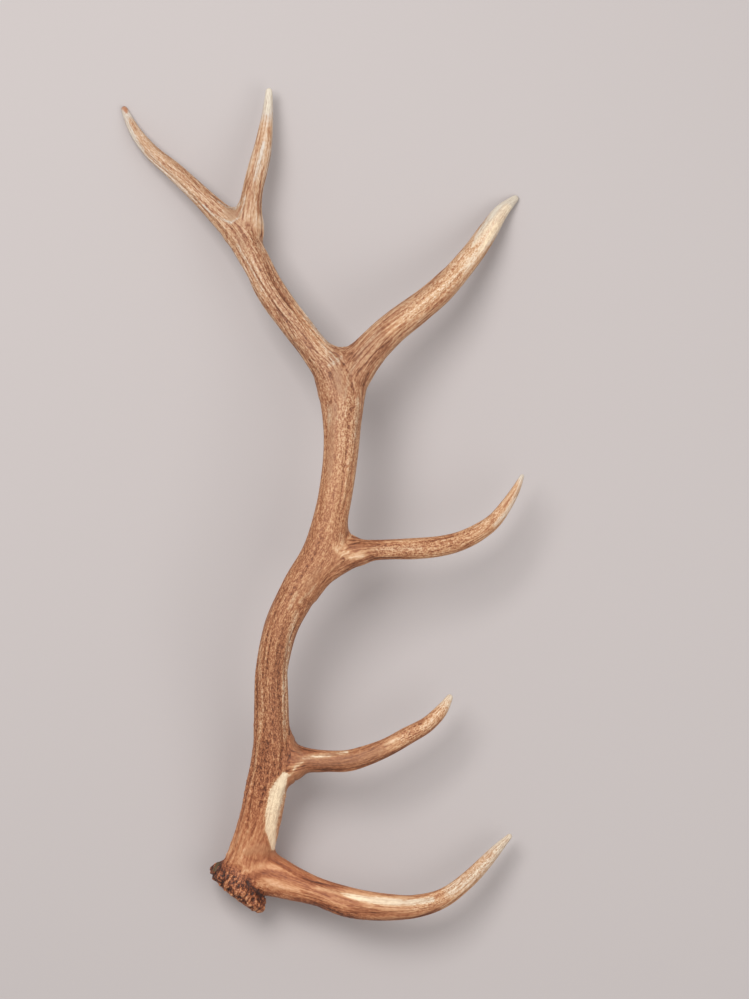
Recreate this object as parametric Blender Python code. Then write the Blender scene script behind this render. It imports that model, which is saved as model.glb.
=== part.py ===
"""Elk shed antler, a right one of six points, lying on its inner side.

Each branch is swept along hand-set stations, the branches and the knobs of the burr are
fused into one skin, and the skin is parted into nodes just past each main fork.
X runs towards the tips of the lower tines, Y from the burr to the crown, Z up from the
surface that the antler lies on. The origin is at the bottom centre of the whole antler.
"""

import math
import random

import bmesh
import bpy
import numpy as np
from mathutils import Matrix, Vector, noise

MM = 0.001
MERGE_DISTANCE = 0.001 * MM

# Stations of each branch in millimetres: place of the centreline (across, along, height),
# width seen from above, and depth from top to bottom.
BEAM = [
    (-115, -512, 40, 69, 54),
    (-105, -491, 43, 67, 56),
    (-94, -455, 52, 60, 56),
    (-85, -425, 60, 56, 54),
    (-73, -372, 76, 54, 52),
    (-64, -319, 92, 51, 50),
    (-64, -266, 106, 45, 46),
    (-64, -214, 118, 43, 43),
    (-54, -163, 128, 45, 44),
    (-28, -110, 136, 49, 45),
    (1, -60, 142, 50, 45),
    (14, -8, 144, 45, 45),
    (22, 43, 142, 45, 44),
    (26, 94, 137, 49, 44),
    (24, 142, 129, 58, 44),
    (13, 171, 122, 53, 42),
    (-7, 195, 115, 42, 39),
    (-29, 224, 106, 39, 36),
    (-67, 277, 88, 38, 34),
    (-94, 328, 70, 40, 32),
    (-109, 353, 61, 40, 31),
    (-134, 378, 52, 32, 28),
    (-165, 408, 42, 26, 25),
    (-194, 434, 33, 24, 23),
    (-226, 462, 23, 20, 20),
    (-247, 490, 11.5, 15, 14),
    (-262, 521, 2, 8, 8),
]
BROW_TINE = [
    (-83, -477, 50, 62, 48),
    (-44, -492, 57, 47, 40),
    (-3, -505, 65, 37, 34),
    (30, -516, 70, 40, 35),
    (60, -521, 73, 39, 34),
    (90, -523, 74, 36, 31),
    (121, -522, 72, 32, 29),
    (153, -514, 67, 27, 25),
    (190, -489, 56, 22, 20),
    (210, -470, 48, 19, 18),
    (228, -451, 41, 14, 13),
    (247, -432, 34, 6, 6),
]
BEZ_TINE = [
    (-68, -332, 86, 84, 34),
    (-47, -332, 89, 72, 34),
    (-35, -333, 90, 53, 34),
    (-22, -332, 91, 37, 30),
    (4, -333, 94, 30, 26),
    (35, -332, 95, 29, 25),
    (59, -325, 95, 27, 23),
    (84, -315, 93, 24, 22),
    (110, -301, 89, 23, 21),
    (138, -285, 83, 20, 19),
    (156, -267, 76, 16, 15),
    (168, -248, 70, 7, 7),
]
TREZ_TINE = [
    (-20, -112, 136, 32, 30),
    (7, -82, 141, 36, 32),
    (26, -68, 140, 40, 33),
    (40, -63.5, 139, 38, 32),
    (51, -62, 138, 35, 30),
    (61, -60.5, 136, 30, 27),
    (88, -59, 132, 27, 24),
    (119, -58, 126, 27, 23),
    (153, -55, 117, 26, 22),
    (177, -49, 109, 25, 21),
    (201, -38, 101, 23, 20),
    (221, -24, 92, 20, 18),
    (239, -2, 84, 16, 15),
    (252, 19, 77, 11, 11),
    (261, 38, 72, 5, 5),
]
ROYAL_TINE = [
    (23, 128, 131, 50, 34),
    (41, 170, 122, 50, 37),
    (62, 197, 114, 46, 36),
    (89, 224, 103, 42, 33),
    (121, 249, 90, 39, 32),
    (154, 277, 75, 36, 30),
    (179, 304, 59, 34, 27),
    (200, 330, 44, 30, 24),
    (217, 356, 30, 26, 21),
    (235, 383, 14.5, 19, 16),
    (256, 403, 1.0, 8, 8),
]
CROWN_TINE = [
    (-102, 338, 62, 48, 27),
    (-96, 358, 61, 43, 27),
    (-94, 380, 60, 32, 27),
    (-90, 408, 55, 27, 25),
    (-84, 434, 50, 27, 24),
    (-78, 461, 44, 25, 22),
    (-74, 487, 37, 20, 18),
    (-71, 514, 30, 14, 13),
    (-69.5, 543.5, 24, 8, 7),
]

# The shed face and the burr around it. Distances are from the shed face, along the beam.
BURR_AXIS = Vector((0.62, 0.78, 0.02)).normalized()
BURR_TURNS_INTO_BEAM = 75 * MM
SHED_FACE_RADIUS = 20 * MM
SHED_FACE_EDGE = 4 * MM
BURR_STARTS = 4 * MM
BURR_MIDDLE = 11 * MM
BURR_ENDS = 34 * MM
BURR_RISE = 7 * MM

# The middle of the rounded seal under the burr is flattened by this much.
SEAL_FLATTENING = 1.0 * MM

# Knobs of the burr, in two staggered rows.
KNOBS_IN_ROW = 17
KNOB_RADIUS = 6.5 * MM
KNOB_ROWS = [(9 * MM, 37 * MM), (17 * MM, 37 * MM)]

# Long ridges down each branch, as a share of its half-width, and lumps low on the beam.
BEAM_RIDGES = 7
TINE_RIDGES = 5
RIDGE_SHARE = 0.055
LUMP_HEIGHT = 2.5 * MM
LUMP_REACH = 170 * MM
LUMP_SIZE = 22 * MM

# How finely a branch is swept, and how the skin is fused and then thinned out.
SIDES = 40
RING_STEP = 6 * MM
FUSING_CELL = 3 * MM
SOFTENING_ROUNDS = 3
SKIN_TRIANGLES = 8800

# Where a branch is parted from the rest: a point of the parting plane in millimetres, the
# direction that the branch leaves in as degrees from +X, and how far the branch reaches
# ahead, to the right and to the left of that direction, in millimetres.
PARTINGS = {
    "brow_tine": ((-38, -490), -10, 310, 60, 125),
    "bez_tine": ((-28, -332), 0, 215, 50, 110),
    "trez_tine": ((52, -61), 0, 230, 45, 110),
    "royal_tine": ((50, 190), 45, 330, 45, 42),
    "upper_beam": ((0, 196), 128.5, 450, 175, 50),
    "crown_tine": ((-93, 389), 84, 175, 35, 22),
}
PARTING_GAP = 0.3 * MM
PARTING_BOTTOM = -30 * MM
PARTING_TOP = 230 * MM


def smooth_step(value, start, end):
    """0 before start, 1 after end, and a soft rise between them."""
    share = min(max((value - start) / (end - start), 0.0), 1.0)
    return share * share * (3.0 - 2.0 * share)


class Branch:
    """A curved, tapering branch with an oval section that changes along it."""

    def __init__(self, stations, ridges, has_burr=False):
        self.rows = np.array(stations, float) * MM
        steps = np.linalg.norm(np.diff(self.rows[:, :3], axis=0), axis=1)
        self.knots = np.concatenate([[0.0], np.cumsum(steps)])
        self.slopes = np.gradient(self.rows, self.knots, axis=0)
        self.length = float(self.knots[-1])
        self.tip_radius = float(self.rows[-1, 3]) / 2
        self.ridges = ridges
        self.has_burr = has_burr

    def station(self, along):
        """Centre, width and depth on the cubic curve through the stations."""
        last_span = len(self.knots) - 2
        i = int(min(max(np.searchsorted(self.knots, along) - 1, 0), last_span))
        span = self.knots[i + 1] - self.knots[i]
        t = (along - self.knots[i]) / span
        row = (1 + 2 * t) * (1 - t) ** 2 * self.rows[i]
        row = row + t * (1 - t) ** 2 * span * self.slopes[i]
        row = row + t * t * (3 - 2 * t) * self.rows[i + 1]
        row = row + t * t * (t - 1) * span * self.slopes[i + 1]
        return Vector(row[:3]), float(row[3]), float(row[4])

    def direction(self, along):
        """Where the branch points. At the burr, the section lies in the burr's own plane."""
        reach = 2 * MM
        before = self.station(max(along - reach, 0.0))[0]
        after = self.station(min(along + reach, self.length))[0]
        forward = (after - before).normalized()
        if self.has_burr:
            share = smooth_step(along, BURR_MIDDLE, BURR_TURNS_INTO_BEAM)
            forward = BURR_AXIS.lerp(forward, share).normalized()
        return forward

    def section_axes(self, along):
        """The directions of the section's width and depth."""
        forward = self.direction(along)
        across = forward.cross(Vector((0.0, 0.0, 1.0))).normalized()
        return across, across.cross(forward)

    def radius_factor(self, along):
        """How the section closes to a round tip and, on the beam, over the shed face."""
        factor = 1.0
        to_tip = self.length - along
        if to_tip < self.tip_radius:
            factor = math.sqrt(max(1.0 - (1.0 - to_tip / self.tip_radius) ** 2, 0.0))
        if self.has_burr and along < SHED_FACE_EDGE:
            half_width = self.station(0.0)[1] / 2
            flat_share = SHED_FACE_RADIUS / half_width
            rise = math.sqrt(1.0 - (1.0 - along / SHED_FACE_EDGE) ** 2)
            factor = flat_share + (1.0 - flat_share) * rise
        return factor

    def relief(self, along, angle):
        """Height of the surface over the plain oval: ridges, lumps and the burr's ledge."""
        ridge_fade = 1.0 - smooth_step(along, 0.6 * self.length, 0.95 * self.length)
        wander = 1.3 * math.sin(along / (90 * MM))
        half_width = self.station(along)[1] / 2
        height = RIDGE_SHARE * half_width * math.cos(self.ridges * angle + wander) * ridge_fade
        if self.has_burr:
            around = Vector((math.cos(angle), math.sin(angle), 0.0)) * half_width
            spot = (around + Vector((0.0, 0.0, along))) / LUMP_SIZE
            lumpiness = math.exp(-along / LUMP_REACH) * smooth_step(along, 0.0, BURR_MIDDLE)
            height += LUMP_HEIGHT * noise.noise(spot) * lumpiness
            ledge = smooth_step(along, BURR_STARTS, BURR_MIDDLE)
            ledge *= 1.0 - smooth_step(along, BURR_MIDDLE, BURR_ENDS)
            height += BURR_RISE * ledge
        return height * self.radius_factor(along)

    def surface_point(self, along, angle):
        """A point of the branch's skin."""
        centre, width, depth = self.station(along)
        across, upward = self.section_axes(along)
        factor = self.radius_factor(along)
        relief = self.relief(along, angle)
        sideways = (width / 2 * factor + relief) * math.cos(angle)
        up = (depth / 2 * factor + relief) * math.sin(angle)
        return centre + across * sideways + upward * up

    def ring_places(self):
        """Distances of the rings, closer together over the burr and the rounded tip."""
        places = []
        body_start = 0.0
        if self.has_burr:
            places = [place * MM for place in (0.0, 0.6, 1.5, 2.6, 4.0, 6.0, 8.0, 11.0, 15.0, 20.0, 25.0)]
            body_start = BURR_ENDS
        body_end = self.length - self.tip_radius
        count = round((body_end - body_start) / RING_STEP)
        places += [body_start + (body_end - body_start) * i / count for i in range(count + 1)]
        places += [body_end + self.tip_radius * share for share in (0.5, 0.86, 1.0)]
        return places


def swept_branch(branch):
    """A closed bmesh of a branch: a grid rolled up around its centreline."""
    places = branch.ring_places()
    bm = bmesh.new()
    bmesh.ops.create_grid(bm, x_segments=SIDES, y_segments=len(places) - 1, size=1.0)
    for vert in bm.verts:
        angle = math.pi * (vert.co.x + 1.0)
        place = places[round((vert.co.y + 1.0) / 2 * (len(places) - 1))]
        vert.co = branch.surface_point(place, angle)
    bmesh.ops.remove_doubles(bm, verts=bm.verts, dist=MERGE_DISTANCE)
    bmesh.ops.holes_fill(bm, edges=[edge for edge in bm.edges if edge.is_boundary])
    bmesh.ops.recalc_face_normals(bm, faces=bm.faces)
    return bm


def burr_knobs(beam):
    """The knobs around the burr, as small balls set half into its ledge."""
    dice = random.Random(6)
    bm = bmesh.new()
    for row, (along, ring_radius) in enumerate(KNOB_ROWS):
        across, upward = beam.section_axes(along)
        centre = beam.station(along)[0]
        for i in range(KNOBS_IN_ROW):
            angle = math.tau * (i + row / 2 + dice.uniform(-0.2, 0.2)) / KNOBS_IN_ROW
            outward = across * math.cos(angle) + upward * math.sin(angle) * 0.96
            spot = centre + outward * (ring_radius + dice.uniform(-1.0, 2.0) * MM)
            spot += BURR_AXIS * dice.uniform(-1.5, 1.5) * MM
            radius = KNOB_RADIUS * dice.uniform(0.75, 1.15)
            place = Matrix.Translation(spot)
            bmesh.ops.create_icosphere(bm, subdivisions=3, radius=radius, matrix=place)
    return bm


def add_object(name, mesh):
    """Puts a mesh in the scene as an object of its own."""
    thing = bpy.data.objects.new(name, mesh)
    bpy.context.scene.collection.objects.link(thing)
    return thing


def fused_skin():
    """The whole antler as one closed skin of few triangles."""
    beam = Branch(BEAM, BEAM_RIDGES, has_burr=True)
    pieces = [swept_branch(beam), burr_knobs(beam)]
    for stations in (BROW_TINE, BEZ_TINE, TREZ_TINE, ROYAL_TINE, CROWN_TINE):
        pieces.append(swept_branch(Branch(stations, TINE_RIDGES)))
    together = bmesh.new()
    for piece in pieces:
        loose = bpy.data.meshes.new("loose")
        piece.to_mesh(loose)
        piece.free()
        together.from_mesh(loose)
        bpy.data.meshes.remove(loose)
    rough = bpy.data.meshes.new("rough")
    together.to_mesh(rough)
    together.free()

    source = add_object("source", rough)
    fuse = source.modifiers.new("fuse", "REMESH")
    fuse.mode = "VOXEL"
    fuse.voxel_size = FUSING_CELL
    soften = source.modifiers.new("soften", "SMOOTH")
    soften.factor = 0.5
    soften.iterations = SOFTENING_ROUNDS
    fine = evaluated_mesh(source)
    thin_out = source.modifiers.new("thin_out", "DECIMATE")
    fine.calc_loop_triangles()
    thin_out.ratio = SKIN_TRIANGLES / len(fine.loop_triangles)
    skin = evaluated_mesh(source)
    bpy.data.objects.remove(source)
    return skin


def evaluated_mesh(thing):
    """A copy of an object's mesh with its modifiers applied."""
    return bpy.data.meshes.new_from_object(thing.evaluated_get(bpy.context.evaluated_depsgraph_get()))


def parting_box(name, grow):
    """A guide box around everything past a branch's parting plane, grown on all sides."""
    (x, y), degrees, ahead, right, left = PARTINGS[name]
    bm = bmesh.new()
    bmesh.ops.create_cube(bm, size=1.0)
    size = Vector((ahead * MM, (left + right) * MM, PARTING_TOP - PARTING_BOTTOM))
    middle = Vector((ahead * MM / 2, (left - right) * MM / 2, (PARTING_TOP + PARTING_BOTTOM) / 2))
    bmesh.ops.scale(bm, vec=size + Vector((grow, grow, grow)) * 2, verts=bm.verts)
    bmesh.ops.translate(bm, vec=middle, verts=bm.verts)
    mesh = bpy.data.meshes.new(name)
    bm.to_mesh(mesh)
    bm.free()
    box = add_object(name + "_space", mesh)
    box.location = (x * MM, y * MM, 0.0)
    box.rotation_euler = (0.0, 0.0, math.radians(degrees))
    box.hide_render = True
    box.display_type = "WIRE"
    return box


def shed_face_box():
    """A guide box that stands off the seal and flattens its middle."""
    middle = Vector(BEAM[0][:3]) * MM + BURR_AXIS * SEAL_FLATTENING
    size = 80 * MM
    bm = bmesh.new()
    bmesh.ops.create_cube(bm, size=size)
    mesh = bpy.data.meshes.new("shed_face")
    bm.to_mesh(mesh)
    bm.free()
    box = add_object("shed_face_space", mesh)
    box.rotation_euler = BURR_AXIS.to_track_quat("Z", "Y").to_euler()
    box.location = middle - BURR_AXIS * size / 2
    box.hide_render = True
    box.display_type = "WIRE"
    return box


def add_cut(thing, box, operation):
    """Keeps what is inside a guide box, or takes it away."""
    cut = thing.modifiers.new(box.name, "BOOLEAN")
    cut.operation = operation
    cut.solver = "EXACT"
    cut.object = box


def horn(name, colour, roughness):
    """A dull Principled material."""
    finish = bpy.data.materials.new(name)
    finish.use_nodes = True
    shader = finish.node_tree.nodes["Principled BSDF"]
    shader.inputs["Base Color"].default_value = (*colour, 1.0)
    shader.inputs["Roughness"].default_value = roughness
    shader.inputs["Metallic"].default_value = 0.0
    return finish


def add_node(name, skin, finish, inside=None, outside=()):
    """A node of the antler: the skin inside one guide box and outside of others."""
    mesh = skin.copy()
    mesh.name = name
    mesh.materials.append(finish)
    mesh.shade_smooth()
    node = add_object(name, mesh)
    if inside:
        add_cut(node, inside, "INTERSECT")
    for box in outside:
        add_cut(node, box, "DIFFERENCE")
    return node


def build_antler():
    """Parts the skin into the beam, the upper beam and five tines."""
    skin = fused_skin()
    dark = horn("dark_horn", (0.24, 0.13, 0.065), 0.6)
    golden = horn("golden_horn", (0.38, 0.23, 0.12), 0.55)
    pale = horn("pale_horn", (0.47, 0.32, 0.19), 0.5)
    finishes = {
        "brow_tine": dark,
        "bez_tine": dark,
        "trez_tine": golden,
        "royal_tine": pale,
        "upper_beam": golden,
        "crown_tine": pale,
    }
    from_beam = [name for name in PARTINGS if name != "crown_tine"]
    cleared = {name: parting_box(name, PARTING_GAP) for name in PARTINGS}
    cleared_boxes = [cleared[name] for name in from_beam]
    add_node("beam", skin, dark, outside=[shed_face_box()] + cleared_boxes)
    for name, finish in finishes.items():
        outside = [cleared["crown_tine"]] if name == "upper_beam" else []
        add_node(name, skin, finish, inside=parting_box(name, 0.0), outside=outside)


for old in list(bpy.data.objects):
    bpy.data.objects.remove(old, do_unlink=True)
build_antler()
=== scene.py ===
"""Elk shed antler: the weathered, grooved skin of the antler over its solid parts.

The antler lies on its inner side and the camera looks straight down on it. All of it is
one grown piece, so one fused skin stands for every solid part.
"""
import itertools
import math
import random

import bmesh
import bpy
import numpy as np
from mathutils import Matrix, Vector


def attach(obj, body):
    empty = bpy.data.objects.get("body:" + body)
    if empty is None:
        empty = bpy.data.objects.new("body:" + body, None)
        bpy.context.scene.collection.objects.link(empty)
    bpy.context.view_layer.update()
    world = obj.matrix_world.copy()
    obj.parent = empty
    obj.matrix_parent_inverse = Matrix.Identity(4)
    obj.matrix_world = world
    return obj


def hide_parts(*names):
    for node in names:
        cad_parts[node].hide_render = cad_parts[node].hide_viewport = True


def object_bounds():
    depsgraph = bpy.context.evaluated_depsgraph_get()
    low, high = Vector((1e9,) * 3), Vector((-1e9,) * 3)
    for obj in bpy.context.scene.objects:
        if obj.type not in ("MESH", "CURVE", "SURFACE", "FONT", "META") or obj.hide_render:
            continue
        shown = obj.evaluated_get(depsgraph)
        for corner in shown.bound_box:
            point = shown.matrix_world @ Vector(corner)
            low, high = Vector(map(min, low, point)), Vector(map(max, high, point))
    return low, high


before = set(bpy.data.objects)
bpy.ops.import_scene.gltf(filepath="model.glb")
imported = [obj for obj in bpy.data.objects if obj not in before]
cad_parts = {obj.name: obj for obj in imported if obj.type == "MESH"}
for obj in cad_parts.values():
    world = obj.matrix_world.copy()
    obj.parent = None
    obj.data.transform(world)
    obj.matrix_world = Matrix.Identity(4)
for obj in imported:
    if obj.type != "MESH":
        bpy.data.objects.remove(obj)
cad_low, cad_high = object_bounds()

MM = 0.001

# The camera looks straight down. At SHARP_HEIGHT, a pixel of the image is PIXEL_SIZE wide.
SHARP_HEIGHT = 60 * MM
PIXEL_SIZE = 1.30 * MM
IMAGE_HEIGHT = 999
SENSOR_SIZE = 36
CAMERA_PLACE = Vector((68.25, 5.2, 6000)) * MM
CAMERA_LENS = SENSOR_SIZE * (CAMERA_PLACE.z - SHARP_HEIGHT) / (IMAGE_HEIGHT * PIXEL_SIZE)

# Stations of each branch in millimetres: place of the centreline (across, along, height),
# width seen from above, and depth from top to bottom. The solid parts have the same ones.
BEAM = [
    (-115, -512, 40, 69, 54),
    (-105, -491, 43, 67, 56),
    (-94, -455, 52, 60, 56),
    (-85, -425, 60, 56, 54),
    (-73, -372, 76, 54, 52),
    (-64, -319, 92, 51, 50),
    (-64, -266, 106, 45, 46),
    (-64, -214, 118, 43, 43),
    (-54, -163, 128, 45, 44),
    (-28, -110, 136, 49, 45),
    (1, -60, 142, 50, 45),
    (14, -8, 144, 45, 45),
    (22, 43, 142, 45, 44),
    (26, 94, 137, 49, 44),
    (24, 142, 129, 58, 44),
    (13, 171, 122, 53, 42),
    (-7, 195, 115, 42, 39),
    (-29, 224, 106, 39, 36),
    (-67, 277, 88, 38, 34),
    (-94, 328, 70, 40, 32),
    (-109, 353, 61, 40, 31),
    (-134, 378, 52, 32, 28),
    (-165, 408, 42, 26, 25),
    (-194, 434, 33, 24, 23),
    (-226, 462, 23, 20, 20),
    (-247, 490, 11.5, 15, 14),
    (-262, 521, 2, 8, 8),
]
BROW_TINE = [
    (-83, -477, 50, 62, 48),
    (-44, -492, 57, 47, 40),
    (-3, -505, 65, 37, 34),
    (30, -516, 70, 40, 35),
    (60, -521, 73, 39, 34),
    (90, -523, 74, 36, 31),
    (121, -522, 72, 32, 29),
    (153, -514, 67, 27, 25),
    (190, -489, 56, 22, 20),
    (210, -470, 48, 19, 18),
    (228, -451, 41, 14, 13),
    (247, -432, 34, 6, 6),
]
BEZ_TINE = [
    (-68, -332, 86, 84, 34),
    (-47, -332, 89, 72, 34),
    (-35, -333, 90, 53, 34),
    (-22, -332, 91, 37, 30),
    (4, -333, 94, 30, 26),
    (35, -332, 95, 29, 25),
    (59, -325, 95, 27, 23),
    (84, -315, 93, 24, 22),
    (110, -301, 89, 23, 21),
    (138, -285, 83, 20, 19),
    (156, -267, 76, 16, 15),
    (168, -248, 70, 7, 7),
]
TREZ_TINE = [
    (-20, -112, 136, 32, 30),
    (7, -82, 141, 36, 32),
    (26, -68, 140, 40, 33),
    (40, -63.5, 139, 38, 32),
    (51, -62, 138, 35, 30),
    (61, -60.5, 136, 30, 27),
    (88, -59, 132, 27, 24),
    (119, -58, 126, 27, 23),
    (153, -55, 117, 26, 22),
    (177, -49, 109, 25, 21),
    (201, -38, 101, 23, 20),
    (221, -24, 92, 20, 18),
    (239, -2, 84, 16, 15),
    (252, 19, 77, 11, 11),
    (261, 38, 72, 5, 5),
]
ROYAL_TINE = [
    (23, 128, 131, 50, 34),
    (41, 170, 122, 50, 37),
    (62, 197, 114, 46, 36),
    (89, 224, 103, 42, 33),
    (121, 249, 90, 39, 32),
    (154, 277, 75, 36, 30),
    (179, 304, 59, 34, 27),
    (200, 330, 44, 30, 24),
    (217, 356, 30, 26, 21),
    (235, 383, 14.5, 19, 16),
    (256, 403, 1.0, 8, 8),
]
CROWN_TINE = [
    (-102, 338, 62, 48, 27),
    (-96, 358, 61, 43, 27),
    (-94, 380, 60, 32, 27),
    (-90, 408, 55, 27, 25),
    (-84, 434, 50, 27, 24),
    (-78, 461, 44, 25, 22),
    (-74, 487, 37, 20, 18),
    (-71, 514, 30, 14, 13),
    (-69.5, 543.5, 24, 8, 7),
]

# The shed face and the ledge of the burr around it: the way up the beam from the face, the
# radius of the face's flat part, how deep its rounded edge is, and the ledge's height.
BURR_AXIS = Vector((0.62, 0.78, 0.02)).normalized()
SHED_FACE_RADIUS = 20 * MM
SHED_FACE_EDGE = 4 * MM
BURR_RISE = 7 * MM

# How far up the beam from the shed face the ledge starts, is highest and ends, and where
# the beam's rings stop leaning like the face.
BURR_STARTS = 4 * MM
BURR_MIDDLE = 11 * MM
BURR_ENDS = 40 * MM
BURR_TURNS_INTO_BEAM = 75 * MM

# Beads of the burr, in staggered rows: distance along the beam in millimetres, how many go
# round, and their mean radius in millimetres.
BEAD_ROWS = [(5, 38, 2.9), (9, 38, 3.6), (13, 38, 3.6), (17, 40, 2.9), (21, 38, 1.8)]

# How uneven the beads are: how far they stray round the beam, as a share of the space for
# one, and along it in millimetres, how long they are for their width, and how large for
# their row.
BEAD_SEED = 6
BEAD_STRAYS_ROUND = 0.3
BEAD_STRAYS_ALONG = 1.3
BEAD_LENGTHS = (1.0, 1.5)
BEAD_SIZES = (0.5, 1.35)

# How finely a branch is swept and searched, and how the skin is fused and thinned out.
SIDES = 72
RING_STEP = 3 * MM
RINGS_OF_BURR = 40
RINGS_OF_TIP = 6
SAME_PLACE = 0.001 * MM
SEARCH_STEP = 6 * MM
POINTS_AT_ONCE = 20000
FUSING_CELL = 1.3 * MM
SKIN_TRIANGLES = 195000

# The webs in the corners of the forks: the share of a web that is left at a tine's root,
# inside the beam, the share that it lacks on top and below, how often the skin is moved
# outwards and how far at once, and where up the beam the webs start.
ROOT_WEB = 0.4
WEB_LACKS_ON_TOP = 0.5
WEB_ROUNDS = 5
WEB_STEP = 3 * MM
WEBS_CLEAR_BURR = (22 * MM, 42 * MM)

# How close to the corner of a fork the skin is evened out, and how often.
CORNER_REACH = (4 * MM, 16 * MM)
CORNER_ROUNDS = 8

# How far round a tine its surroundings are looked at.
NEAR_A_TINE = 60 * MM

# How far a branch reaches back past its first station.
ROOT_CAP = 6 * MM

# The distance over which the grain of the beam turns into that of a tine.
GRAIN_TURNS = 9 * MM

# The relief of the skin in millimetres: how high its lumps and pearls stand, how deep its
# wide and fine grooves are, and how rough the burr is.
LUMPS = 1.3
WIDE_GROOVES = 1.5
FINE_GROOVES = 0.7
PEARLS = 1.1
BURR_CRUMBS = 0.6

# How far the grooves wander, the share of the relief that a tine has, the share that a
# smooth place lacks, and how often the skin is evened out to see what stands over it,
# which the finish turns into painted shade in hollows and painted highlights on ridges.
GROOVES_WANDER = 3 * MM
RELIEF_OF_TINE = 0.65
SMOOTH_PLACE_LACKS = 0.7
RAISED_ROUNDS = 14

# The marks in the grain: bands, streaks, flecks, cracks, dashes and specks. Each is its
# size along the grain and across it in millimetres, and how much fine detail it has.
GRAIN_MARKS = [
    (90, 9, 2.0), (34, 2.3, 2.0), (6, 2.3, 1.0), (110, 4, 1.0), (4.5, 1.3, 0.0), (1.8, 1.4, 0.0),
]

# Pale places where the skin is worn to ivory, soft tan places, dark stains together with
# painted shade along shaded edges, and smooth grey-brown places, where the relief is lower too.
# Each is how strong it is, then its places seen from above, in millimetres: across, along,
# half-width.
IVORY = [
    # The worn patch on the front of the beam, over the brow tine.
    (1.7, [(-48, -350, 4), (-57, -371, 10), (-60, -385, 10), (-64, -402, 9), (-66, -422, 7)]),
    (1.7, [(-66, -422, 7), (-63, -448, 2)]),
    # The ridge that runs from it out onto the second tine.
    (0.85, [(-49, -359, 1), (-40, -349, 2), (-33, -339, 2), (-24, -332, 2)]),
    (0.85, [(-26, -329, 2), (-14, -327, 3), (4, -325, 3), (19, -323, 2), (33, -321, 2)]),
    (0.6, [(81, -312, 1), (92, -307, 3), (104, -303, 1)]),
    # Lines near both edges of the lower beam.
    (0.5, [(-76, -239, 1), (-75, -268, 2), (-80, -298, 1), (-85, -331, 1), (-90, -363, 1)]),
    (0.35, [(-77, -149, 1), (-80, -188, 1), (-79, -227, 1)]),
    (0.75, [(-47, -304, 2), (-48, -272, 4), (-48, -239, 3), (-45, -201, 3), (-39, -162, 3), (-31, -139, 2)]),
    (0.6, [(-27, -126, 1), (-17, -116, 2), (-7, -105, 1)]),
    (0.55, [(-41, -136, 1), (-35, -121, 2), (-28, -111, 1)]),
    # The fork of the third tine.
    (0.65, [(19, -57, 4), (29, -62, 6), (39, -67, 5), (52, -67, 3)]),
    (0.5, [(25, -40, 2), (29, -57, 3)]),
    (0.4, [(65, -58, 2), (95, -58, 2), (127, -57, 2)]),
    # The beam under the royal fork, and the fork itself.
    (0.5, [(9, 130, 1), (10, 117, 3), (10, 100, 1)]),
    (0.45, [(47, 135, 2), (46, 113, 2), (43, 81, 2)]),
    (0.4, [(19, 126, 1), (20, 107, 1)]),
    (0.75, [(11, 178, 2), (18, 182, 4), (25, 187, 2)]),
    (0.5, [(1, 204, 4), (11, 191, 5), (19, 179, 3)]),
    (0.4, [(30, 133, 1), (36, 165, 1), (52, 197, 2), (75, 223, 2)]),
    # Both edges of the upper beam.
    (0.55, [(9, 207, 3), (-7, 228, 4), (-28, 258, 4), (-43, 282, 3), (-59, 312, 3), (-78, 374, 2)]),
    (0.35, [(-109, 335, 2), (-93, 309, 2), (-77, 276, 2)]),
    # Ridges round the web of the crown.
    (0.9, [(-155, 388, 0.5), (-142, 376, 0.5), (-128, 368, 1), (-118, 364, 1)]),
    (0.9, [(-118, 364, 1), (-109, 370, 0.5), (-102, 384, 0.5), (-100, 398, 0.5)]),
    (0.9, [(-135, 393, 0.5), (-124, 386, 0.5), (-113, 383, 1), (-106, 390, 0.5)]),
    # The two branches of the crown.
    (0.9, [(-259, 508, 1), (-252, 488, 3), (-243, 472, 3), (-234, 461, 2)]),
    (0.45, [(-230, 457, 4), (-209, 436, 4), (-186, 414, 3), (-160, 391, 1)]),
    (1.5, [(-70, 543, 8), (-71, 526, 8), (-72, 514, 6)]),
    (0.75, [(-76, 470, 1), (-80, 452, 3), (-84, 434, 3), (-87, 420, 1)]),
    (0.5, [(-64, 510, 0), (-64, 480, 0), (-72, 430, 0)]),
    (0.5, [(-88, 392, 0), (-89, 425, 0), (-85, 455, 0)]),
    # The royal tine.
    (1.4, [(254, 404, 4), (231, 387, 7), (213, 361, 5), (195, 334, 1)]),
    (1.3, [(257, 400, 4), (240, 379, 7), (223, 353, 6), (202, 324, 1)]),
    (0.7, [(198, 320, 3), (190, 311, 4), (184, 300, 2)]),
    (0.3, [(173, 296, 3), (153, 276, 3), (127, 256, 3), (101, 234, 3)]),
    # The outer edge of the third tine's end, and the second tine's end.
    (0.7, [(259, 32, 3), (257, 21, 3), (251, 8, 3), (243, -6, 3), (234, -17, 3), (223, -28, 2)]),
    (1.2, [(168, -248, 5), (163, -256, 4)]),
    (0.5, [(158, -265, 4), (146, -279, 4), (133, -289, 4)]),
    # The brow tine.
    (0.8, [(245, -436, 4), (236, -448, 6), (222, -463, 8), (206, -477, 8), (190, -489, 8), (166, -502, 8)]),
    (1.2, [(26, -505, 1), (46, -510, 4), (70, -514, 5), (95, -516, 5), (120, -516, 4), (143, -513, 3)]),
    (0.5, [(-5, -498, 2), (17, -502, 3), (37, -505, 2)]),
    # Ridges that run down to the burr's upper end.
    (0.4, [(-104, -424, 1), (-112, -440, 1), (-121, -455, 1)]),
    (0.4, [(-96, -424, 1), (-105, -444, 1), (-116, -462, 1)]),
    (0.4, [(-91, -432, 1), (-99, -448, 1), (-108, -464, 1)]),
]
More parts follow.
